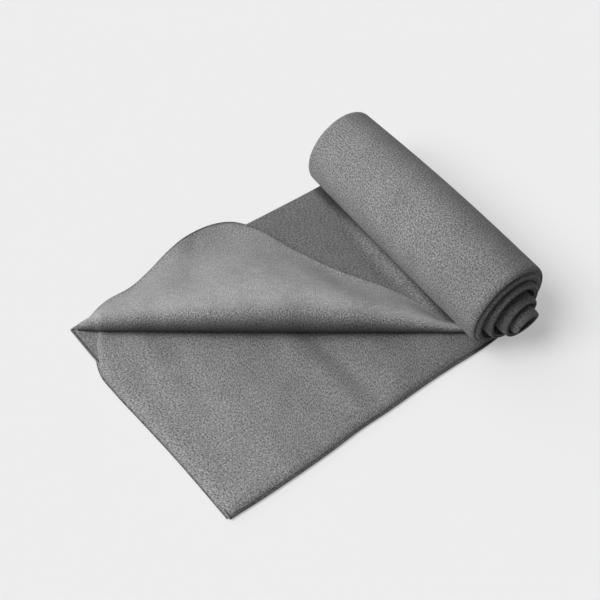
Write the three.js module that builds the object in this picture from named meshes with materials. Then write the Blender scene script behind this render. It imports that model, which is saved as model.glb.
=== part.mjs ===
// Quick dry towel: one rectangle of microfibre cloth, folded lengthwise twice into a strip of
// four layers and rolled up from one end, with one corner of the free end turned back.
// Millimetres, +Z up. +X runs along the strip from its free end to the roll, +Y goes across it
// to the far edge, and the origin is the middle of the strip's flat underside.
// The cloth is one piece. Each node is a stretch of it between two folds, or one turn of the
// roll, and neighbours keep a small gap where the real cloth runs on.
import * as THREE from "three";

// Driving dimensions
const STRIP_WIDTH = 150;
const CONTACT_X = 189.5; // from the free end to the line where the roll rests
const FLAT_END_X = 181.5; // the flat layers stop here and the first turn of the roll takes over
const GAP = 0.3;
const LAYER_THICKNESS = 0.65;
const ROLL_RADIUS = 27.2; // at the contact line: the roll is a spiral, 52 mm high
const TURN_SLIPS = [0, 0.5, 2, 8, 12.5]; // how far each turn slides out of the roll's near end
const TURN_SHRINK = 3.8; // how much smaller the radius gets in one turn
const TURN_SAG = 1.04; // how far the centre drops in one turn, so the turns bunch at the bottom
const TURN_STEPS = 24;
const FOLD_STEPS = 8; // round each half round fold
const SECOND_LAYER_START_X = 3; // this layer's free end is drawn in a little
const FOLD_END_X = 184; // where the diagonal fold meets the near edge
const FOLD_INSET = 4; // how far the top layer's diagonal edge keeps clear of the fold's foot
const FLAP_START = 7; // distances along the diagonal fold, from the far corner
const FLAP_END = 202;
const FLAP_STEPS = 28; // along the fold, for the fold and for the flap

const PITCH = LAYER_THICKNESS + GAP;
const STRIP_HEIGHT = 4 * LAYER_THICKNESS + 3 * GAP;
const NEAR_FOLD_RADIUS = LAYER_THICKNESS + GAP / 2; // joins two neighbouring layers
const FAR_FOLD_RADIUS = STRIP_HEIGHT / 2; // joins the lowest layer to the highest
const NEAR_Y = NEAR_FOLD_RADIUS + GAP;
const FAR_FOLD_Y = STRIP_WIDTH - FAR_FOLD_RADIUS;
const FAR_Y = FAR_FOLD_Y - GAP;

const cloth = new THREE.MeshStandardMaterial({
  color: 0x7d7d7d,
  roughness: 0.95,
  metalness: 0,
});

const towel = new THREE.Group();
towel.position.set(-CONTACT_X / 2, -STRIP_WIDTH / 2, 0);

function addPiece(name, geometry) {
  const mesh = new THREE.Mesh(geometry, cloth.clone());
  mesh.name = name;
  towel.add(mesh);
  return mesh;
}

// A flat layer: an outline in plan, lying with its underside at the given height.
function layer(name, outline, height) {
  const shape = new THREE.Shape(outline.map(([x, y]) => new THREE.Vector2(x, y)));
  const geometry = new THREE.ExtrudeGeometry(shape, {
    depth: LAYER_THICKNESS,
    bevelEnabled: false,
  });
  addPiece(name, geometry.translate(0, 0, height));
}

// A lengthwise fold: half a ring in the Y-Z plane, run along X. side is -1 at the near edge.
function lengthwiseFold(name, outerRadius, centreY, centreZ, side) {
  const arc = (radius, from, to) =>
    Array.from({ length: FOLD_STEPS + 1 }, (_, i) => {
      const angle = from + ((to - from) * i) / FOLD_STEPS;
      const reach = side * radius * Math.cos(angle);
      return new THREE.Vector2(centreY + reach, centreZ + radius * Math.sin(angle));
    });
  const quarter = Math.PI / 2;
  const outer = arc(outerRadius, -quarter, quarter);
  const inner = arc(outerRadius - LAYER_THICKNESS, quarter, -quarter);
  const geometry = new THREE.ExtrudeGeometry(new THREE.Shape([...outer, ...inner]), {
    depth: FLAT_END_X,
    bevelEnabled: false,
  });
  // The section's own X is the part's Y, its Y is Z, and the extrusion runs along X.
  geometry.applyMatrix4(new THREE.Matrix4().set(0, 0, 1, 0, 1, 0, 0, 0, 0, 1, 0, 0, 0, 0, 0, 1));
  addPiece(name, geometry);
}

// The roll in side view: angle 0 is the lowest point, and the angle grows towards +X and up.
// Four layers fill the space between one turn and the next: thin below and loose at the top.
const bandThickness = (angle) => TURN_SHRINK - TURN_SAG * Math.cos(angle) - GAP;

function rollPoint(angle, inset) {
  const turns = angle / (2 * Math.PI);
  const radius = ROLL_RADIUS - TURN_SHRINK * turns - inset;
  const centreZ = ROLL_RADIUS - TURN_SAG * turns;
  const x = CONTACT_X + radius * Math.sin(angle);
  return new THREE.Vector2(x, centreZ - radius * Math.cos(angle));
}

function extrudeAcross(name, outline, slip) {
  const geometry = new THREE.ExtrudeGeometry(new THREE.Shape(outline), {
    depth: STRIP_WIDTH,
    bevelEnabled: false,
  });
  // The side view's Y is the part's Z, and the extrusion runs back along Y.
  geometry.rotateX(Math.PI / 2);
  addPiece(name, geometry.translate(0, STRIP_WIDTH - slip, 0));
}

function rollTurn(slip, index) {
  const start = index * 2 * Math.PI;
  const radiusAtStart = ROLL_RADIUS - TURN_SHRINK * index;
  const gapAngle = GAP / (radiusAtStart - TURN_SHRINK);
  const angles = Array.from({ length: TURN_STEPS + 1 }, (_, i) => {
    const angle = start + (i * 2 * Math.PI) / TURN_STEPS;
    return i === TURN_STEPS ? angle - gapAngle : angle;
  });
  const outer = angles.map((angle) => rollPoint(angle, 0));
  const inner = angles.map((angle) => rollPoint(angle, bandThickness(angle))).reverse();
  if (index === 0) {
    inner.push(new THREE.Vector2(FLAT_END_X + GAP, bandThickness(0)));
    outer.unshift(new THREE.Vector2(FLAT_END_X + GAP, 0));
  }
  extrudeAcross(`roll_turn_${index + 1}`, [...outer, ...inner], slip);
}

// The turned-back corner. A place on it is its distance s along the diagonal fold from the far
// corner, its reach q from the fold towards the far side, and its height.
const foldStart = new THREE.Vector2(0, STRIP_WIDTH);
const foldAlong = new THREE.Vector2(FOLD_END_X, -STRIP_WIDTH).normalize();
const foldAcross = new THREE.Vector2(-foldAlong.y, foldAlong.x);

// A smooth curve through a few [distance, value] pairs.
function along(points, s) {
  const curve = points.findIndex(([at]) => at > s);
  if (curve === 0) return points[0][1];
  if (curve < 0) return points[points.length - 1][1];
  const [before, a, b, after] = [-2, -1, 0, 1].map(
    (k) => points[Math.min(Math.max(curve + k, 0), points.length - 1)],
  );
  const t = (s - a[0]) / (b[0] - a[0]);
  const slopeA = ((b[1] - before[1]) / (b[0] - before[0])) * (b[0] - a[0]);
  const slopeB = ((after[1] - a[1]) / (after[0] - a[0])) * (b[0] - a[0]);
  return (
    a[1] * (1 + 2 * t) * (1 - t) ** 2 +
    slopeA * t * (1 - t) ** 2 +
    b[1] * t * t * (3 - 2 * t) +
    slopeB * t * t * (t - 1)
  );
}

const FOLD_RADIUS_ALONG = [[0, 1.5], [20, 4], [50, 7], [95, 10], [140, 10.5], [175, 7], [205, 3.2], [237, 2]];
const EDGE_REACH_ALONG = [[7, 7], [19, 17], [35, 29], [51, 47], [62, 58], [75, 70], [88, 75], [100, 72], [122, 56], [146, 41], [175, 28.5], [190, 19.5], [202, 8]];
const EDGE_HEIGHT_ALONG = [[7, 7], [19, 9], [35, 8], [51, 16], [62, 16], [75, 11], [88, 7], [100, 5], [237, 5]];

function flapPlace(s, q, z) {
  const plan = foldStart.clone().addScaledVector(foldAlong, s).addScaledVector(foldAcross, q);
  return new THREE.Vector3(plan.x, plan.y, z);
}

const topLayerMiddle = STRIP_HEIGHT - LAYER_THICKNESS / 2;
// The fold's foot lies a little on the near side of the straight line, and further back where
// the fold is thick, so that the fold's near side is straight.
const FOLD_OFFSET = -2.7;
const FOLD_LEAN = 0.49;
const foldFoot = (s) => FOLD_LEAN * along(FOLD_RADIUS_ALONG, s) + FOLD_OFFSET;
const FOLD_TURN_START = 0.08; // leaves the gap to the top layer

// The half round of the fold, from the top layer (turn 0) up and over to the flap (turn 1).
function foldSurface(s, turn) {
  const radius = along(FOLD_RADIUS_ALONG, s);
  const angle = Math.PI * turn;
  const q = foldFoot(s) - radius * Math.sin(angle);
  return flapPlace(s, q, topLayerMiddle + radius * (1 - Math.cos(angle)));
}

// The flap, from the top of the fold (out 0) to the cloth's edge (out 1).
function flapSurface(s, out) {
  const q0 = foldFoot(s) + GAP;
  const z0 = topLayerMiddle + 2 * along(FOLD_RADIUS_ALONG, s);
  const q1 = along(EDGE_REACH_ALONG, s);
  const z1 = along(EDGE_HEIGHT_ALONG, s);
  const ease = out * out * (3 - 2 * out);
  return flapPlace(s, q0 + (q1 - q0) * out, z0 + (z1 - z0) * ease);
}

// A closed solid of even thickness about a surface, along the flap and from t0 to 1 across it.
function sheetSolid(name, surface, t0) {
  const [s0, s1, t1] = [FLAP_START, FLAP_END, 1];
  const [sSteps, tSteps] = [FLAP_STEPS, FOLD_STEPS];
  const STEP = 1e-3; // for the slopes that give the surface's normal
  const positions = [];
  const index = [];
  const at = (i, j, side) => (side * (sSteps + 1) + i) * (tSteps + 1) + j;
  for (const side of [0, 1]) {
    for (let i = 0; i <= sSteps; i++) {
      for (let j = 0; j <= tSteps; j++) {
        const s = s0 + ((s1 - s0) * i) / sSteps;
        const t = t0 + ((t1 - t0) * j) / tSteps;
        const point = surface(s, t);
        const ds = surface(s + STEP, t).sub(surface(s - STEP, t));
        const dt = surface(s, t + STEP).sub(surface(s, t - STEP));
        const normal = ds.cross(dt).normalize();
        point.addScaledVector(normal, (side - 0.5) * LAYER_THICKNESS);
        positions.push(point.x, point.y, point.z);
      }
    }
  }
  const quad = (a, b, c, d) => index.push(a, b, c, a, c, d);
  for (let i = 0; i < sSteps; i++) {
    for (let j = 0; j < tSteps; j++) {
      quad(at(i, j, 1), at(i + 1, j, 1), at(i + 1, j + 1, 1), at(i, j + 1, 1));
      quad(at(i, j, 0), at(i, j + 1, 0), at(i + 1, j + 1, 0), at(i + 1, j, 0));
    }
    quad(at(i, 0, 0), at(i + 1, 0, 0), at(i + 1, 0, 1), at(i, 0, 1));
    quad(at(i + 1, tSteps, 0), at(i, tSteps, 0), at(i, tSteps, 1), at(i + 1, tSteps, 1));
  }
  for (let j = 0; j < tSteps; j++) {
    quad(at(0, j + 1, 0), at(0, j, 0), at(0, j, 1), at(0, j + 1, 1));
    quad(at(sSteps, j, 0), at(sSteps, j + 1, 0), at(sSteps, j + 1, 1), at(sSteps, j, 1));
  }
  const geometry = new THREE.BufferGeometry();
  geometry.setAttribute("position", new THREE.Float32BufferAttribute(positions, 3));
  geometry.setIndex(index);
  geometry.computeVertexNormals();
  addPiece(name, geometry);
}

// Flat layers, lowest first
const rectangle = (x0, y0, x1, y1) => [[x0, y0], [x1, y0], [x1, y1], [x0, y1]];
layer("bottom_layer", rectangle(0, NEAR_Y, FLAT_END_X, FAR_Y), 0);
layer("third_layer", rectangle(0, NEAR_Y, FLAT_END_X, FAR_Y), PITCH);
layer("second_layer", rectangle(SECOND_LAYER_START_X, 0, FLAT_END_X, FAR_Y), 2 * PITCH);
const diagonalY = ((FOLD_END_X + FOLD_INSET - FLAT_END_X) * STRIP_WIDTH) / FOLD_END_X;
const diagonal = [[FOLD_INSET, FAR_Y], [FLAT_END_X, diagonalY]];
layer("top_layer", [...diagonal, [FLAT_END_X, FAR_Y]], 3 * PITCH);

// Lengthwise folds
lengthwiseFold("near_fold", NEAR_FOLD_RADIUS, NEAR_FOLD_RADIUS, NEAR_FOLD_RADIUS, -1);
lengthwiseFold("far_fold_inner", NEAR_FOLD_RADIUS, FAR_FOLD_Y, FAR_FOLD_RADIUS, 1);
lengthwiseFold("far_fold_outer", FAR_FOLD_RADIUS, FAR_FOLD_Y, FAR_FOLD_RADIUS, 1);

// Roll
TURN_SLIPS.forEach(rollTurn);

// Turned-back corner
sheetSolid("corner_fold", foldSurface, FOLD_TURN_START);
sheetSolid("corner_flap", flapSurface, 0);

export default towel;
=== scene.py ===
"""Quick dry towel: one microfibre cloth, folded lengthwise twice and rolled up from one end, with
one corner of the free end turned back. Shapes are worked out in strip coordinates, in millimetres:
x from the free end to the roll, y from the near edge to the far edge, z up from the floor. Heights
in the folded strip are counted in layers: 0 is its underside and 4 its top."""
import math

import bpy
import numpy as np
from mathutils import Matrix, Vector


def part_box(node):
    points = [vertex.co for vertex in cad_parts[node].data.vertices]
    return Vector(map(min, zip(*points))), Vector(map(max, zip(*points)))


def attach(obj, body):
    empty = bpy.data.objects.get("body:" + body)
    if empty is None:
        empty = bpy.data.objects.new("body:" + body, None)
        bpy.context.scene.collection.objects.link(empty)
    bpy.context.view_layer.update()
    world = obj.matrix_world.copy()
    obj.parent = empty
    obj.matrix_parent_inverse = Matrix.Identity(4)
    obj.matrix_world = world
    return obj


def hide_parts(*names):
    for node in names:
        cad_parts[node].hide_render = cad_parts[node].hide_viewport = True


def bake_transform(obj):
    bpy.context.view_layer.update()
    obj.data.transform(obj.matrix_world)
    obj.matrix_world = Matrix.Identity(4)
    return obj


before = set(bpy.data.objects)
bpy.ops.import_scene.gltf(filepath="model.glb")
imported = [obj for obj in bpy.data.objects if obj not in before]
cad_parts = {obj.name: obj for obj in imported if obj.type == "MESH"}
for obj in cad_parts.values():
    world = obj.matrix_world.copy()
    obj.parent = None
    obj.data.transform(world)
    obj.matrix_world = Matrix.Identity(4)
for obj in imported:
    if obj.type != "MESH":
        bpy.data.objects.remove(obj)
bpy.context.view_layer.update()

MM = 0.001

# ---- Sizes taken from the frame ----
first_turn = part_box("roll_turn_1")
bottom_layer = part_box("bottom_layer")
ORIGIN = np.array([bottom_layer[0].x, first_turn[0].y, 0.0])
STRIP_WIDTH = (first_turn[1].y - first_turn[0].y) / MM
# ---- End of the sizes taken from the frame ----

# ---- The flat strip, in millimetres unless a comment says otherwise ----
LAYERS = 4
BOTTOM, THIRD, SECOND, TOP = 0.5, 1.5, 2.5, 3.5  # the layers' middles, in layers
UPPER_TWO = 2.2  # heights above this one belong to the upper two layers
TOP_ONLY = 3.0  # and above this one to the top layer
UPPER_RISE = (2.05, 2.45)  # heights between which the upper two layers part from the lower two
RIDGE_RISE = (2.9, 3.4)  # heights between which the top layer parts from the second
LAYER_PITCH = 1.0  # from one flat layer to the next
LAYER_FILL = 0.47  # half a layer's thickness, as a share of the pitch
LEAST_FILL = 0.55  # how thin a layer may be pressed, as a share of its thickness
FLOOR_GAP = 0.02
SET_BACK = 1.3  # how far the two upper layers' near edge lies inside the lower two layers' fold
LEAST_TOP_WIDTH = 0.5  # of the top layer where the turned-back corner begins
PUFF = 1.9  # how far the two upper layers stand off the two lower ones
PUFF_FALL = 8.0  # width over which they come down to the near edge
PUFF_START = (-4, 5)  # x over which they part at the free end
FAR_FALL, FAR_FALL_SHARE = (132, 148), 0.6  # y over which they close at the far folds, and how much
LEAST_PUFF = 0.05
NEAR_LOOP = 0.22  # how much the near fold stands open, per layer
NEAR_LOOP_WIDTH = 2.5
OUTER_FOLD_RADIUS, INNER_FOLD_RADIUS = 1.5, 0.5  # the far folds, in layers
NEAR_FOLD_BULGE = 0.9  # how far the near fold bulges out, in layers
DROOP_WIDTH, DROOP_SHARE = 4.6, 0.78  # how the upper layers' free end droops to the floor
ROLL_CLEARANCE = 0.5  # between the top layer and the roll above it
ROLL_CLEARANCE_SOFT = 0.5  # how softly the layers are pressed down to leave it

# Edges of the strip, as (x, y) pairs
NEAR_EDGE = [(-6, -1.5), (20, -2.7), (46, -3.3), (60, -3.3), (85, -2.7), (105, -3.3), (124, -3.2),
             (150, -3.9), (163, -4.7), (182, -5.2), (200, -4.5)]
FAR_EDGE = [(-6, 150), (60, 150), (110, 149.5), (147, 146.8), (181, 145), (200, 146.5)]
# The free end of the second layer, which hangs over the ends of the others, as (y, x) pairs
FREE_END = [(-5, -3.4), (50, -3.5), (76, -4.4), (100, -5.2), (113, -4.8), (122, -1.8),
            (131, 3.5), (140, 10), (150, 16)]
# The free end of the lower two layers
LOWER_END = [(-5, -2.4), (12, -0.6), (40, 1.0), (100, 1.0), (118, -0.8), (150, -0.8)]
TOP_HANG = -0.5  # how far over the free end the top layer may hang
END_REACH = 40.0  # how far along the strip the shape of its free end is felt

# The wave of the top layer in front of the roll: crest x and height by y
RIDGE_CREST = [(0, 166), (40, 167), (67, 168), (90, 170), (105, 173), (125, 177), (150, 180)]
RIDGE_HEIGHT = [(0, 0.3), (18, 1.3), (40, 4.0), (70, 5.6), (95, 5.2), (112, 2.8), (124, 0), (150, 0)]
RIDGE_FOOT = 6.0
WAVES = [  # shallow waves: crest x at the near and far edge, half width, height, and first and last y
    (10, 30, 7, 0.9, 40, 130),
    (22, 42, 7, -0.6, 40, 130),
    (90, 84, 8, 1.5, -20, 75),
    (104, 98, 7, -1.6, -20, 70),
    (124, 116, 9, 1.3, -20, 60),
    (58, 66, 14, 0.8, 0, 100),
    (150, 142, 10, 1.0, -20, 30),
]
WAVE_RISE, WAVE_FALL_START, WAVE_FALL_END = 30, -20, 15  # y from a wave's first and last y
WAVE_EDGE = 14  # width over which a wave dies down to the near edge

# ---- The roll ----
ROLL_RADIUS = 27.2  # at the line where the roll rests
TURNS = 5
TURN_SHRINK = 3.8  # how much smaller the radius gets in one turn
TURN_SAG = 1.04  # how far the centre drops in one turn
TURN_DRIFT = 0.2  # how far it moves away from the free end in one turn
TURN_GAP = 0.3
# The inner turns are loose: by turn, how far they lie off away from the free end, how far they sink,
# how much smaller they are besides, and how thick their layers are packed
LOOSE_DRIFT = [(0, 0), (2.7, 0), (3.25, 1.4), (4.2, 1.7), (5, 2.0)]
LOOSE_SINK = [(0, 0), (2.7, 0), (3.25, 0.9), (4.2, 1.2), (5, 1.6)]
LOOSE_SHRINK = [(0, 0), (2.6, 0), (3.25, 1.9), (4.2, 2.3), (5, 2.6)]
LOOSE_PACKING = [(0, 1), (2.6, 1), (3.2, 0.84), (5, 0.8)]
BELLY = 0.035  # how much fatter the roll is halfway along, as a share
CONTACT_NEAR = 186.3  # where the roll rests, at its near end and at its far end
CONTACT_FAR = 192.6
CONTACT_MIDDLE = (CONTACT_NEAR + CONTACT_FAR) / 2
WIDER_NEAR = [(0, 1.065), (2, 1.12), (3, 1.16), (5, 1.2)]  # turns are wider than high, by turn
WIDER_FAR = [(0, 0.975), (5, 1.0)]
SLIP = [(0, 0), (1, 1.0), (2, 3.0), (3, 6.4), (4, 11.5), (4.6, 14.4), (4.85, 12.6), (5, 8)]  # by turn
ROLL_EDGE_X = 200  # the place on the strip's edges that gives the roll's ends
SETTLE_ANGLE = 1.2  # radians over which the flat strip's section turns into the roll's
ROLL_SET_BACK = 0.4
ROLL_ROUND_WIDTH, ROLL_ROUND_START = 3.2, 0.3  # how the four layers draw together at the near end
PINCHED = 0.3  # the layers' thickness at the near end, as a share
WOBBLES = [(0.22, 1.7, 0.6), (0.16, 2.9, 0)]  # unevenness of the turns: height, waves, phase
LIFTED_TURN = 0.92  # how many turns in the cloth comes down again over the strip before the roll

# ---- The turned-back corner: s runs along the diagonal fold from the far corner, q across it ----
FOLD_END_X = 184.0
FOLD_LENGTH = math.hypot(FOLD_END_X, STRIP_WIDTH)
ALONG_FOLD = np.array([FOLD_END_X, -STRIP_WIDTH]) / FOLD_LENGTH
ACROSS_FOLD = np.array([STRIP_WIDTH, FOLD_END_X]) / FOLD_LENGTH
FOLD_RADIUS = [(0, 0.6), (7, 3.0), (14, 4.8), (25, 6), (50, 7.5), (95, 10), (140, 10.5), (175, 7),
               (205, 3.2), (220, 1.6), (236, 0.6)]
# The cloth's edge: how far across it lies, and how high, by s
EDGE_REACH = [(1, 0.6), (6, 1.0), (10, 5), (14, 10), (19, 14.5), (28, 21.5), (35, 27.8), (43, 35.5),
              (51, 44.6), (60, 55.4), (68, 64.6), (76, 70.4), (88, 74), (100, 70.6), (122, 55.2),
              (140, 43.5), (156, 34.8), (175, 26.4), (190, 18.0), (200, 11.0), (208, 4.2), (214, 0.8),
              (220, 0), (236, -1)]
EDGE_HEIGHT = [(1, 2), (10, 5), (19, 8), (35, 8), (43, 11), (51, 14), (60, 14.5), (68, 11.5),
               (76, 9.8), (88, 8.2), (100, 8.0), (190, 7.7), (208, 6.6), (236, 5)]
FLAP_START = 4.0
FLAP_END = 233.0
FOOT_SHARE = 0.49  # how far across the fold's foot lies, as a share of the fold's radius
FOOT_LEAN = 0.75  # and how far it lies back as the layers below it rise
FOOT_PROBE = 3  # how far in front of the foot their height is taken
FOOT_MARGINS = (-2, 8)  # how far past the fold's two ends its foot is followed
LEAST_REACH, LEAST_RISE = 1.0, 1.0  # of the flap's edge, from the foot
# Waves of the flap: height, start, length, how far they slant along the fold, phase
FLAP_WAVES = [(0.9, -30, 13, 15.6, 0), (0.6, 0, 8.5, 45, 1)]
FLAP_WAVE_REACH = (10, 50)  # they grow as the flap reaches this far

# ---- Painted shade and painted highlight in the cloth's tone: darker in curves, creases, beside and under the roll and at its near end, lighter on the ridge and the flap ----
# Tones of the outer side on the top layer, darker than on the roll as painted shade from the flap and
# the roll beside it, on the roll, on the third layer, and of the flap's underside, kept dark as painted
# shade
TOP_TONE, ROLL_TONE, THIRD_TONE, FLAP_UNDER_TONE = 0.152, 0.226, 0.215, 0.12
ROLL_TONE_STATIONS = (-10, 8)  # from the roll's start, where the top layer's shade becomes the roll's
FOLD_TONES = [(0, 0.03), (0.36, 0.03), (0.5, 0.075), (0.62, 0.12), (0.8, 0.24), (0.96, 0.32),
              (1.3, 0.315), (1.7, 0.285), (2, 0.26)]  # painted shade on the fold's round, darkest at its front, and painted light on the flap, from the fold's foot to the flap's edge
RIM_SHADE, RIM_START = 0.55, 1.965  # painted shade: the flap's edge is darker from there on
# The cloth's inner side, which shows in front of the diagonal fold, by x, with painted shade that grows
# towards the roll
PANEL_TONES = [(0, 0.245), (28, 0.258), (52, 0.226), (100, 0.212), (140, 0.172), (175, 0.155)]
# Painted shade in the roll's near end, where little light reaches the inner turns: how much darker they
# are, the widths, as shares of the shade's depth, over which that goes, and the turns over which it
# comes
END_SHADE, END_SHADE_WIDTHS, END_SHADE_TURNS = 0.42, (0.3, 1.3), (0.9, 1.5)
END_SHADE_DEPTHS = [(0, 1), (0.8, 3), (1.6, 4), (3, 8), (5, 16)]  # depth of that painted shade, by turn
# the same depth on the flat stretch
FLAT_END_SHADE_DEPTH = 4.0
EDGE_SHADE, EDGE_SHADE_WIDTH = 0.22, (0, 5)  # painted shade along the whole near edge
SIDE_SHADE, SIDE_SHADE_TURNS = 0.36, (0.34, 0.5)  # painted shade on the roll's side away from the free end, which faces away from the light
NEAR_SHADE, NEAR_SHADE_WIDTH = 0.16, (8, 75)  # painted shade on the roll towards its near end
RIDGE_TONE = 0.32  # painted highlight: how much lighter the ridge in front of the roll is, where it faces the light
VALLEY_SHADE, VALLEY_BEFORE_CREST, VALLEY_WIDTH = 0.20, 9, 4  # and painted shade: how much darker the valley beside it is
NIP_SHADE, NIP_REACH = 0.7, (-25, -18.5)  # painted shadow where the strip runs in under the roll
CREASE_SHADE, CREASE_PLACE, CREASE_WIDTH = 0.86, -2.0, 1.9  # painted shadow in the crease in front of the diagonal fold
CREASE_START, CREASE_END = (4, 14), 182

# ---- The meshes' points ----
# Across the strip, on each stretch of its section
POINTS = {"top": 56, "outer": 12, "bottom": 40, "near": 9, "third": 26, "inner": 7, "second": 96}
CROWDING, SECOND_CROWDING = 0.6, 0.8  # how much points draw together towards a layer's two edges
END_STRETCH, FLAT_STRETCH = 12, 150  # x where the stretch by the free end and the flat stretch end
END_STATIONS, FLAT_STATIONS, SLOPE_STATIONS = 9, 83, 24  # on these stretches and on up to the roll
STATIONS_BEFORE_ROLL = END_STATIONS + FLAT_STATIONS + SLOPE_STATIONS
STATIONS_PER_TURN = 36
FOOT_POINTS = 400
FLAP_POINTS_ALONG, FOLD_POINTS, FLAP_POINTS_ACROSS = 150, 21, 56
RIM_ROUND = 0.8  # how far the rim bulges out, as a share of half the thickness

# ---- Material: sizes in millimetres, strengths as shares ----
GRAIN_SIZE = 0.85
STREAK_SIZE, STREAK_SQUEEZE, STREAK_TONES = 2.4, 0.4, (0.93, 1.07)  # longer along the strip
MOTTLE_SIZE, MOTTLE_TONES = 18.0, (0.92, 1.08)
NOISE_ROUGHNESS, NOISE_RANGE = 0.6, (0.3, 0.7)
GRAIN_ON_DARK = 0.80  # contrast of the nap's grain where the painted tone is dark, and where it is light
GRAIN_ON_LIGHT = 0.38
DARK_NAP, LIGHT_NAP = 0.25, 0.30  # the tones that count as dark and as light
BUMP_STRENGTH, BUMP_DEPTH = 0.7, 0.35

# ---- Camera, light, floor ----
CAMERA_PLACE = (-164.5, -258.8, 575.1)  # in strip coordinates
CAMERA_LOOK = (0.628, 0.778)
CAMERA_PITCH = 52.4
CAMERA_LENS = 75.7
# Soft suns: name, direction towards the light, strength, spread in degrees
SUNS = [("left_key", (-0.60, 0.26, 0.76), 2.6, 40), ("back_key", (-0.10, 0.75, 0.65), 0.7, 60)]
SKY_STRENGTH = 0.20
FLOOR_COLOUR = 0.52
FLOOR_GLOW = 0.345  # the floor gives off some light, so shadows on it stay pale
FLOOR_HALF = 6.0  # in metres
BACKDROP_GLOW = 0.855
BACKDROP_RADIUS, BACKDROP_HEIGHT, BACKDROP_SIDES = 5.9, 12.0, 48


def smooth(value, low, high):
    """0 below low, 1 above high, and a smooth step between them."""
    t = np.clip((value - low) / (high - low), 0, 1)
    return t * t * (3 - 2 * t)


def along(pairs, at):
    """A smooth curve through a few (place, value) pairs, held level past its ends."""
    place = np.array([p for p, _ in pairs], float)
    value = np.array([v for _, v in pairs], float)
    slope = np.gradient(value, place)
    slope[0] = slope[-1] = 0
    at = np.clip(at, place[0], place[-1])
    k = np.clip(np.searchsorted(place, at, side="right") - 1, 0, len(place) - 2)
    width = place[k + 1] - place[k]
    t = (at - place[k]) / width
    return (value[k] * (1 + 2 * t) * (1 - t) ** 2 + slope[k] * width * t * (1 - t) ** 2
            + value[k + 1] * t * t * (3 - 2 * t) + slope[k + 1] * width * t * t * (t - 1))


# ---- The height of the layers on the flat stretch ----
def contact_x(y):
    """Where the roll rests on the floor."""
    return CONTACT_NEAR + (CONTACT_FAR - CONTACT_NEAR) * y / STRIP_WIDTH


def wider(turns, y):
    """How much wider than high the roll is there."""
    near, far = along(WIDER_NEAR, turns), along(WIDER_FAR, turns)
    return near + (far - near) * y / STRIP_WIDTH


def roll_under(x, y):
    """How high the roll's second turn is above the floor, over a place on the flat strip."""
    radius = ROLL_RADIUS - TURN_SHRINK * LIFTED_TURN
    centre_z = ROLL_RADIUS - TURN_SAG * LIFTED_TURN
    reach = (contact_x(y) + TURN_DRIFT * LIFTED_TURN - x) / wider(LIFTED_TURN, y)
    return centre_z - np.sqrt(radius ** 2 - np.clip(reach, 0, radius) ** 2)


def puff(x, y):
    """How far the upper two layers stand off the lower two."""
    near = along(NEAR_EDGE, x)
    fall = np.clip((y - near - SET_BACK) / PUFF_FALL, 0, 1)
    lift = PUFF * np.sqrt(1 - (1 - fall) ** 2) * smooth(x, *PUFF_START)
    lift = lift * (1 - FAR_FALL_SHARE * smooth(y, *FAR_FALL))
    for x0, x1, width, height, y0, y1 in WAVES:
        crest = x0 + (x1 - x0) * y / STRIP_WIDTH
        share = smooth(y, y0, y0 + WAVE_RISE)
        share = share * (1 - smooth(y, y1 + WAVE_FALL_START, y1 + WAVE_FALL_END))
        share = share * smooth(y - near, 0, WAVE_EDGE)
        lift = lift + height * share * np.exp(-((x - crest) / width) ** 2)
    return np.maximum(lift, LEAST_PUFF)


def ridge(x, y):
    """The wave of the top layer in front of the roll."""
    before = np.minimum(x - along(RIDGE_CREST, y), 0) / RIDGE_FOOT
    return along(RIDGE_HEIGHT, y) * np.exp(-before ** 2)


def layer_height(layers, x, y):
    """The height of the surface so many layers above the floor, on the flat stretch."""
    near = along(NEAR_EDGE, x)
    raised = smooth(layers, *UPPER_RISE)
    fold_loop = NEAR_LOOP * (1 - raised) * np.exp(-((y - near - LAYER_PITCH) / NEAR_LOOP_WIDTH) ** 2)
    height = layers * (LAYER_PITCH + fold_loop) + raised * puff(x, y)
    height = height + smooth(layers, *RIDGE_RISE) * ridge(x, y)
    droop = (1 - smooth(x - along(FREE_END, y), 0, DROOP_WIDTH)) * raised
    height = height * (1 - DROOP_SHARE * droop)
    limit = (roll_under(x, y) - ROLL_CLEARANCE) * layers / LAYERS
    soft = ROLL_CLEARANCE_SOFT
    return 0.5 * (height + limit - np.sqrt((height - limit) ** 2 + soft ** 2)) + soft / 8


# ---- The turned-back corner ----
def fold_plan(s, q):
    """Strip x and y of a place at distance s along the diagonal fold and q across it."""
    return (s * ALONG_FOLD[0] + q * ACROSS_FOLD[0],
            STRIP_WIDTH + s * ALONG_FOLD[1] + q * ACROSS_FOLD[1])


def fold_foot(s):
    """How far across the fold's foot lies: the fold's near side is then one straight crease."""
    q = FOOT_SHARE * along(FOLD_RADIUS, s)
    base = layer_height(TOP, *fold_plan(s, q - FOOT_PROBE))
    return q - FOOT_LEAN * base


def foot_y(x):
    """Where the top layer ends and the turned-back corner begins."""
    s = np.linspace(FOOT_MARGINS[0], FOLD_LENGTH + FOOT_MARGINS[1], FOOT_POINTS)
    fx, fy = fold_plan(s, fold_foot(s))
    return np.interp(x, fx, fy, left=STRIP_WIDTH)


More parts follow.
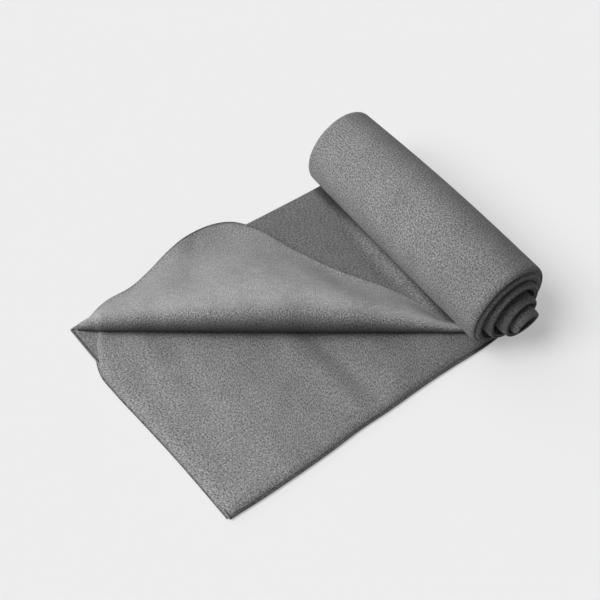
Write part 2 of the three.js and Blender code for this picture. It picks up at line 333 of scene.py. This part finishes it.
def flap_surface(s, t):
    """The half round of the fold (t 0 to 1) and the flap out to the cloth's edge (t 1 to 2)."""
    radius = along(FOLD_RADIUS, s)
    foot = fold_foot(s)
    base = layer_height(TOP, *fold_plan(s, foot))
    angle = math.pi * np.clip(t, 0, 1)
    fold_q = foot - radius * np.sin(angle)
    fold_z = base + radius * (1 - np.cos(angle))
    out = np.clip(t - 1, 0, 1)
    edge_q = np.maximum(along(EDGE_REACH, s), foot + LEAST_REACH)
    edge_z = np.maximum(along(EDGE_HEIGHT, s), base + LEAST_RISE)
    reach = edge_q - foot
    z = fold_z + (edge_z - base - 2 * radius) * smooth(out, 0, 1)
    wave = sum(height * np.sin((s + start + slant * out) / length + phase)
               for height, start, length, slant, phase in FLAP_WAVES)
    z = z + wave * np.sin(math.pi * out) * smooth(reach, *FLAP_WAVE_REACH)
    x, y = fold_plan(s, fold_q + reach * out)
    return np.stack([x, y, z], -1)


# ---- The body of the towel ----
def section_path():
    """The folded section as (run, place, layers) rows: run names the stretch, place is 0 at its
    near end and 1 at its far end (or an angle on a fold), layers is the height in layers."""
    def places(name, start, end):
        return np.linspace(start, end, POINTS[name])

    rows = []
    rows += [("top", p, TOP) for p in places("top", 0, 1)]
    rows += [("outer", a, 0) for a in places("outer", 0, math.pi)[1:-1]]
    rows += [("flat", p, BOTTOM) for p in places("bottom", 1, 0)]
    rows += [("near", a, 0) for a in places("near", 0, math.pi)[1:-1]]
    rows += [("flat", p, THIRD) for p in places("third", 0, 1)]
    rows += [("inner", a, 0) for a in places("inner", 0, math.pi)[1:-1]]
    rows += [("second", p, SECOND) for p in places("second", 1, 0)]
    return rows


def crowd(place, amount):
    """A place from 0 to 1, drawn towards the nearer end, where the layer's edge is round."""
    return place - amount * np.sin(2 * math.pi * place) / (2 * math.pi)


def section(y_near, y_far, pitch, foot, set_back):
    """Rows of (y, layers) of one station's section, with the folds as half rounds."""
    far_centre = y_far - 2 * pitch  # the middle of both far folds, two layers up
    near_centre = y_near + pitch  # the middle of the near fold, one layer up
    upper_edge = y_near + set_back
    result = []
    for run, place, layers in section_path():
        if run == "top":
            y = foot + (far_centre - foot) * crowd(place, CROWDING)
        elif run == "outer":
            y = far_centre + OUTER_FOLD_RADIUS * pitch * math.sin(place)
            layers = 2 + OUTER_FOLD_RADIUS * math.cos(place)
        elif run == "flat":
            y = near_centre + (far_centre - near_centre) * crowd(place, CROWDING)
        elif run == "near":
            y = near_centre - NEAR_FOLD_BULGE * pitch * math.sin(place)
            layers = 1 - 0.5 * math.cos(place)
        elif run == "inner":
            y = far_centre + INNER_FOLD_RADIUS * pitch * math.sin(place)
            layers = 2 - INNER_FOLD_RADIUS * math.cos(place)
        else:
            y = upper_edge + (far_centre - upper_edge) * crowd(place, SECOND_CROWDING)
        result.append((y, layers))
    return np.array(result)


def flat_station(x):
    """Points of the section on the flat stretch, with half the layer's thickness."""
    y_near = float(along(NEAR_EDGE, x))
    y_far = float(along(FAR_EDGE, x))
    foot = max(float(foot_y(x)), y_near + SET_BACK)
    foot = min(foot, y_far - 2 * LAYER_PITCH - LEAST_TOP_WIDTH)
    rows = section(y_near, y_far, LAYER_PITCH, foot, SET_BACK)
    y, layers = rows[:, 0], rows[:, 1]
    skew = (contact_x(y) - CONTACT_MIDDLE) * smooth(x, FLAT_STRETCH, CONTACT_MIDDLE)
    end = along(FREE_END, y)
    upper_end = np.where(layers > TOP_ONLY, np.maximum(end, TOP_HANG), end)
    start = np.where(layers > UPPER_TWO, upper_end, along(LOWER_END, y))
    hang = np.maximum(0, 1 - np.maximum(x, 0) / END_REACH)
    px = x + skew + start * hang
    pz = layer_height(layers, px, y)
    half = LAYER_FILL * LAYER_PITCH * np.clip(pz / (layers * LAYER_PITCH), LEAST_FILL, 1)
    return np.stack([px, y, np.maximum(pz, half + FLOOR_GAP)], -1), half


def roll_station(angle):
    """Points of the section on the roll at that angle from its lowest line."""
    turns = angle / (2 * math.pi)
    slip = float(along(SLIP, turns))
    y_near = float(along(NEAR_EDGE, ROLL_EDGE_X)) - slip
    y_far = float(along(FAR_EDGE, ROLL_EDGE_X)) - slip
    room = TURN_SHRINK - TURN_DRIFT * math.sin(angle) - TURN_SAG * math.cos(angle)
    settle = float(smooth(angle, 0, SETTLE_ANGLE))
    thickness = (room - TURN_GAP) * float(along(LOOSE_PACKING, turns))
    set_back = SET_BACK * (1 - settle) + ROLL_SET_BACK
    rows = section(y_near, y_far, thickness / LAYERS, y_near + set_back, set_back)
    y, layers = rows[:, 0], rows[:, 1]
    depth = np.clip((y - y_near + ROLL_ROUND_START) / ROLL_ROUND_WIDTH, 0, 1)
    round_off = np.sqrt(1 - (1 - depth) ** 2)
    squeeze = 1 + (PINCHED + (1 - PINCHED) * round_off - 1) * settle
    flat_inset = layers * thickness / LAYERS
    inset = thickness * (0.5 + (layers / LAYERS - 0.5) * squeeze)
    inset = flat_inset + (inset - flat_inset) * settle
    wobble = sum(height * math.sin(angle * waves + phase) for height, waves, phase in WOBBLES)
    radius = ROLL_RADIUS - TURN_SHRINK * turns - along(LOOSE_SHRINK, turns) - inset
    radius = radius + wobble * min(turns, 1)
    centre_z = ROLL_RADIUS - TURN_SAG * turns - along(LOOSE_SINK, turns)
    belly = 1 + BELLY * np.sin(math.pi * np.clip(y / STRIP_WIDTH, 0, 1))
    radius, centre_z = radius * belly, centre_z * belly
    drift = TURN_DRIFT * turns + along(LOOSE_DRIFT, turns)
    x = contact_x(y) + drift + wider(turns, y) * radius * math.sin(angle)
    z = centre_z - radius * math.cos(angle)
    return np.stack([x, y, z], -1), LAYER_FILL * thickness / LAYERS * squeeze


def body_stations():
    """The body's grid of middle points, from the free end to the core, and half its thickness."""
    flat = np.concatenate([np.linspace(0, END_STRETCH, END_STATIONS, endpoint=False),
                           np.linspace(END_STRETCH, FLAT_STRETCH, FLAT_STATIONS, endpoint=False),
                           np.linspace(FLAT_STRETCH, CONTACT_MIDDLE, SLOPE_STATIONS)])
    angles = np.linspace(0, 2 * math.pi * TURNS, TURNS * STATIONS_PER_TURN + 1)[1:]
    stations = [flat_station(float(x)) for x in flat]
    stations += [roll_station(float(angle)) for angle in angles]
    return np.array([points for points, _ in stations]), np.array([half for _, half in stations])


def body_tones(points):
    """The cloth's tone with painted shade and painted highlight, on the folded cloth's outer side and
    on its inner side.
    """
    x, y = points[..., 0], points[..., 1]
    station = np.arange(len(points))[:, None] - STATIONS_BEFORE_ROLL
    turn = np.maximum(station, 0) / STATIONS_PER_TURN
    from_edge = y - y.min(1, keepdims=True)

    outer = TOP_TONE + (ROLL_TONE - TOP_TONE) * smooth(station, *ROLL_TONE_STATIONS) * np.ones_like(x)
    third = np.array([layers == THIRD for _, _, layers in section_path()])
    outer = np.where(third, THIRD_TONE, outer)
    # painted shade on the roll's far side and towards its near end
    outer = outer * (1 - SIDE_SHADE * (1 - smooth(turn, *SIDE_SHADE_TURNS)) * (turn > 0))
    outer = outer * (1 - NEAR_SHADE * (1 - smooth(from_edge, *NEAR_SHADE_WIDTH)) * (turn > 0))
    # painted highlight on the ridge, painted shade in the valley beside it and painted shadow at the
    # nip under the roll
    ridge_top = max(height for _, height in RIDGE_HEIGHT)
    before_ridge = (along(RIDGE_CREST, y) - VALLEY_BEFORE_CREST - x) / VALLEY_WIDTH
    in_valley = along(RIDGE_HEIGHT, y) / ridge_top * np.exp(-before_ridge ** 2)
    flat_shade = 1 + RIDGE_TONE * ridge(x, y) / ridge_top - VALLEY_SHADE * in_valley
    flat_shade = flat_shade * (1 - NIP_SHADE * smooth(x - contact_x(y), *NIP_REACH))
    outer = outer * np.where(turn > 0, 1, flat_shade)

    # painted shadow in the crease in front of the diagonal fold, over the inner side's tones with their
    # painted shade
    across = x * ACROSS_FOLD[0] + (y - STRIP_WIDTH) * ACROSS_FOLD[1]
    from_crease = np.maximum(CREASE_PLACE - across, 0)
    crease = CREASE_SHADE * np.exp(-(from_crease / CREASE_WIDTH) ** 2)
    crease = crease * smooth(x, *CREASE_START) * (x < CREASE_END) * (turn == 0)
    inner = along(PANEL_TONES, x) * (1 - crease)

    # painted shade in the roll's near end and along the near edge
    end_shade_depth = np.where(turn > 0, along(END_SHADE_DEPTHS, turn), FLAT_END_SHADE_DEPTH)
    in_end = 1 - smooth(from_edge / end_shade_depth, *END_SHADE_WIDTHS)
    painted_end_shade = 1 - END_SHADE * in_end * smooth(turn, *END_SHADE_TURNS)
    painted_end_shade = painted_end_shade * (1 - EDGE_SHADE * (1 - smooth(from_edge, *EDGE_SHADE_WIDTH)))
    return outer * painted_end_shade, inner * painted_end_shade


# ---- Making meshes ----
def grid_normals(points):
    """The direction square to the grid at each of its points."""
    du = np.gradient(points, axis=1)
    dv = np.gradient(points, axis=0)
    normal = np.cross(dv, du)
    return normal / np.maximum(np.linalg.norm(normal, axis=-1, keepdims=True), 1e-9)


def grid_flat_places(points):
    """Each grid point's place on the flat cloth, in metres, for the cloth's texture."""
    step_u = np.linalg.norm(np.diff(points, axis=1), axis=-1)
    step_v = np.linalg.norm(np.diff(points, axis=0), axis=-1)
    u = np.concatenate([np.zeros((points.shape[0], 1)), np.cumsum(step_u, 1)], 1)
    v = np.concatenate([np.zeros((1, points.shape[1])), np.cumsum(step_v, 0)], 0)
    v = v.mean(1, keepdims=True) * np.ones_like(u)
    return u * MM, v * MM


def grid_rim(rows, columns):
    """The grid's outermost points in order, once round."""
    return ([(0, j) for j in range(columns - 1)]
            + [(i, columns - 1) for i in range(rows - 1)]
            + [(rows - 1, j) for j in range(columns - 1, 0, -1)]
            + [(i, 0) for i in range(rows - 1, 0, -1)])


def rim_points(points, halves, rim):
    """Points a little outside the rim, which make its edge round."""
    rows, columns = points.shape[:2]
    result = []
    for i, j in rim:
        inward = points[min(max(i, 1), rows - 2), min(max(j, 1), columns - 2)]
        out = points[i, j] - inward
        out = out / max(np.linalg.norm(out), 1e-9)
        result.append(points[i, j] + out * halves[i, j] * RIM_ROUND)
    return np.array(result)


def cloth_faces(rows, columns, rim):
    """Faces of the upper side, the lower side and the round edge between them."""
    count = rows * columns

    def index(i, j, side):
        return side * count + i * columns + j

    faces = []
    for i in range(rows - 1):
        for j in range(columns - 1):
            square = [(i, j), (i, j + 1), (i + 1, j + 1), (i + 1, j)]
            faces.append(tuple(index(*place, 0) for place in square))
            faces.append(tuple(index(*square[k], 1) for k in (0, 3, 2, 1)))
    for k, place in enumerate(rim):
        following = (k + 1) % len(rim)
        here, there = 2 * count + k, 2 * count + following
        faces.append((index(*rim[following], 0), there, here, index(*place, 0)))
        faces.append((there, index(*rim[following], 1), index(*place, 1), here))
    return faces


def cloth_mesh(name, points, halves, tones):
    """A closed mesh of cloth about a grid of middle points, with round edges all along its rim.
    tones are its colour with painted shade and painted highlight, on its upper and on its lower side."""
    normal = grid_normals(points)
    rows, columns = points.shape[:2]
    rim = grid_rim(rows, columns)
    upper = points + normal * halves[..., None]
    lower = points - normal * halves[..., None]
    vertices = np.concatenate([upper.reshape(-1, 3), lower.reshape(-1, 3),
                               rim_points(points, halves, rim)])
    mesh = bpy.data.meshes.new(name)
    mesh.from_pydata((vertices * MM + ORIGIN).tolist(), [], cloth_faces(rows, columns, rim))
    mesh.update()
    mesh.polygons.foreach_set("use_smooth", [True] * len(mesh.polygons))

    def per_vertex(upper_values, lower_values):
        on_rim = [(upper_values[place] + lower_values[place]) / 2 for place in rim]
        return np.concatenate([upper_values.ravel(), lower_values.ravel(), np.array(on_rim)])

    u, v = grid_flat_places(points)
    flat_place = np.stack([per_vertex(u, u), per_vertex(v, v)], -1)
    corner = np.zeros(len(mesh.loops), np.int32)
    mesh.loops.foreach_get("vertex_index", corner)
    uv = mesh.uv_layers.new(name="flat_cloth")
    uv.data.foreach_set("uv", flat_place[corner].ravel())
    # the cloth's tone, with its painted shade and painted highlight
    nap = mesh.attributes.new("tone_with_painted_light", "FLOAT", "POINT")
    nap.data.foreach_set("value", per_vertex(*tones).astype(np.float32))
    made = bpy.data.objects.new(name, mesh)
    bpy.context.collection.objects.link(made)
    return made


# ---- Material ----
def microfibre():
    """Grey brushed microfibre: a short fleecy nap, slightly mottled, with a matt surface."""
    material = bpy.data.materials.new("microfibre_fleece")
    material.use_nodes = True
    nodes, links = material.node_tree.nodes, material.node_tree.links
    shader = nodes["Principled BSDF"]
    shader.inputs["Roughness"].default_value = 0.95
    shader.inputs["Specular IOR Level"].default_value = 0.15
    shader.inputs["Sheen Weight"].default_value = 0.08
    shader.inputs["Sheen Roughness"].default_value = 0.6
    uv = nodes.new("ShaderNodeUVMap")
    uv.uv_map = "flat_cloth"

    def noise(size, detail, squeeze=1.0):
        place = nodes.new("ShaderNodeMapping")
        place.inputs["Scale"].default_value = (1 / (size * MM), squeeze / (size * MM), 1)
        links.new(uv.outputs["UV"], place.inputs["Vector"])
        texture = nodes.new("ShaderNodeTexNoise")
        texture.inputs["Scale"].default_value = 1
        texture.inputs["Detail"].default_value = detail
        texture.inputs["Roughness"].default_value = NOISE_ROUGHNESS
        links.new(place.outputs["Vector"], texture.inputs["Vector"])
        return texture.outputs["Fac"]

    def spread(value, low, high, between=NOISE_RANGE):
        node = nodes.new("ShaderNodeMapRange")
        node.inputs["From Min"].default_value = between[0]
        node.inputs["From Max"].default_value = between[1]
        node.inputs["To Min"].default_value = low
        node.inputs["To Max"].default_value = high
        links.new(value, node.inputs["Value"])
        return node.outputs["Result"]

    def multiply(a, b, plus=None):
        node = nodes.new("ShaderNodeMath")
        node.operation = "MULTIPLY" if plus is None else "MULTIPLY_ADD"
        links.new(a, node.inputs[0])
        links.new(b, node.inputs[1])
        if plus is not None:
            node.inputs[2].default_value = plus
        return node.outputs[0]

    grain = noise(GRAIN_SIZE, detail=2)
    streaks = noise(STREAK_SIZE, detail=1, squeeze=STREAK_SQUEEZE)
    mottle = noise(MOTTLE_SIZE, detail=2)
    # the mesh's tone, which carries painted shade and painted highlight, sets the base colour, times
    # grain, streaks and mottle
    nap = nodes.new("ShaderNodeAttribute")
    nap.attribute_name = "tone_with_painted_light"
    contrast = spread(nap.outputs["Fac"], GRAIN_ON_DARK, GRAIN_ON_LIGHT, (DARK_NAP, LIGHT_NAP))
    speckle = multiply(spread(grain, -1, 1), contrast, plus=1)
    tone = multiply(multiply(speckle, spread(streaks, *STREAK_TONES)), spread(mottle, *MOTTLE_TONES))
    grey = multiply(nap.outputs["Fac"], tone)
    shade = nodes.new("ShaderNodeCombineColor")
    for channel in ("Red", "Green", "Blue"):
        links.new(grey, shade.inputs[channel])
    links.new(shade.outputs["Color"], shader.inputs["Base Color"])
    bump = nodes.new("ShaderNodeBump")
    bump.inputs["Strength"].default_value = BUMP_STRENGTH
    bump.inputs["Distance"].default_value = BUMP_DEPTH * MM
    links.new(grain, bump.inputs["Height"])
    links.new(bump.outputs["Normal"], shader.inputs["Normal"])
    return material


def glowing(name, colour, glow):
    """A matt grey that also gives off a little white light."""
    material = bpy.data.materials.new(name)
    material.use_nodes = True
    shader = material.node_tree.nodes["Principled BSDF"]
    shader.inputs["Base Color"].default_value = (colour, colour, colour, 1)
    shader.inputs["Emission Color"].default_value = (1, 1, 1, 1)
    shader.inputs["Emission Strength"].default_value = glow
    shader.inputs["Roughness"].default_value = 1.0
    shader.inputs["Specular IOR Level"].default_value = 0.0
    return material


# ---- Camera, light, floor ----
def make_camera():
    camera = bpy.data.objects.new("camera", bpy.data.cameras.new("camera"))
    bpy.context.collection.objects.link(camera)
    camera.data.lens = CAMERA_LENS
    camera.location = Vector(np.array(CAMERA_PLACE) * MM + ORIGIN)
    fall = math.tan(math.radians(CAMERA_PITCH)) * math.hypot(*CAMERA_LOOK)
    look = Vector((*CAMERA_LOOK, -fall))
    camera.rotation_euler = look.to_track_quat("-Z", "Y").to_euler()
    bpy.context.scene.camera = camera


def make_floor():
    """A pale floor out to the backdrop."""
    mesh = bpy.data.meshes.new("floor")
    corners = [(-1, -1), (1, -1), (1, 1), (-1, 1)]
    mesh.from_pydata([(x * FLOOR_HALF, y * FLOOR_HALF, 0) for x, y in corners], [], [(0, 1, 2, 3)])
    floor = bpy.data.objects.new("floor", mesh)
    bpy.context.collection.objects.link(floor)
    mesh.materials.append(glowing("floor", FLOOR_COLOUR, FLOOR_GLOW))


def make_backdrop():
    """A pale wall far around, seen by the camera only, so that low views have no horizon."""
    bpy.ops.mesh.primitive_cylinder_add(vertices=BACKDROP_SIDES, radius=BACKDROP_RADIUS,
                                        depth=BACKDROP_HEIGHT, end_fill_type="NOTHING")
    wall = bpy.context.object
    wall.name = "backdrop"
    wall.data.materials.append(glowing("backdrop", 0, BACKDROP_GLOW))
    wall.visible_diffuse = wall.visible_glossy = wall.visible_shadow = False


def make_light():
    for name, towards, strength, spread in SUNS:
        sun = bpy.data.objects.new(name, bpy.data.lights.new(name, "SUN"))
        bpy.context.collection.objects.link(sun)
        sun.data.energy = strength
        sun.data.angle = math.radians(spread)
        sun.rotation_euler = Vector(towards).to_track_quat("Z", "Y").to_euler()
    world = bpy.data.worlds.new("studio")
    world.use_nodes = True
    background = world.node_tree.nodes["Background"]
    background.inputs["Color"].default_value = (1, 1, 1, 1)
    background.inputs["Strength"].default_value = SKY_STRENGTH
    bpy.context.scene.world = world
    bpy.context.scene.view_settings.view_transform = "Standard"


def make_body(cloth):
    """The folded and rolled towel, less the turned-back corner."""
    points, halves = body_stations()
    body = cloth_mesh("towel_body", points, halves, body_tones(points))
    body.data.materials.append(cloth)
    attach(body, "towel")
    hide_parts("bottom_layer", "third_layer", "second_layer", "top_layer", "near_fold",
                "far_fold_inner", "far_fold_outer", *[f"roll_turn_{n + 1}" for n in range(TURNS)])
    return body


def make_corner(cloth, body):
    """The turned-back corner with the soft fold at its root."""
    across = np.concatenate([np.linspace(0, 1, FOLD_POINTS, endpoint=False),
                             np.linspace(1, 2, FLAP_POINTS_ACROSS)])
    s, t = np.meshgrid(np.linspace(FLAP_START, FLAP_END, FLAP_POINTS_ALONG), across, indexing="ij")
    # painted shade on the fold's round and at the flap's edge, painted light on the flap, and the
    # flap's underside kept dark as painted shade
    tone = along(FOLD_TONES, t) * (1 - RIM_SHADE * smooth(t, RIM_START, 2))
    corner = cloth_mesh("turned_corner", flap_surface(s, t), np.full(s.shape, LAYER_FILL * LAYER_PITCH),
                        (tone, np.full(s.shape, FLAP_UNDER_TONE)))
    corner.data.materials.append(cloth)
    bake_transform(corner)
    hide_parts("corner_fold", "corner_flap")


# ---- Building the scene ----
make_camera()
make_floor()
make_backdrop()
make_light()
fleece = microfibre()
make_corner(fleece, make_body(fleece))
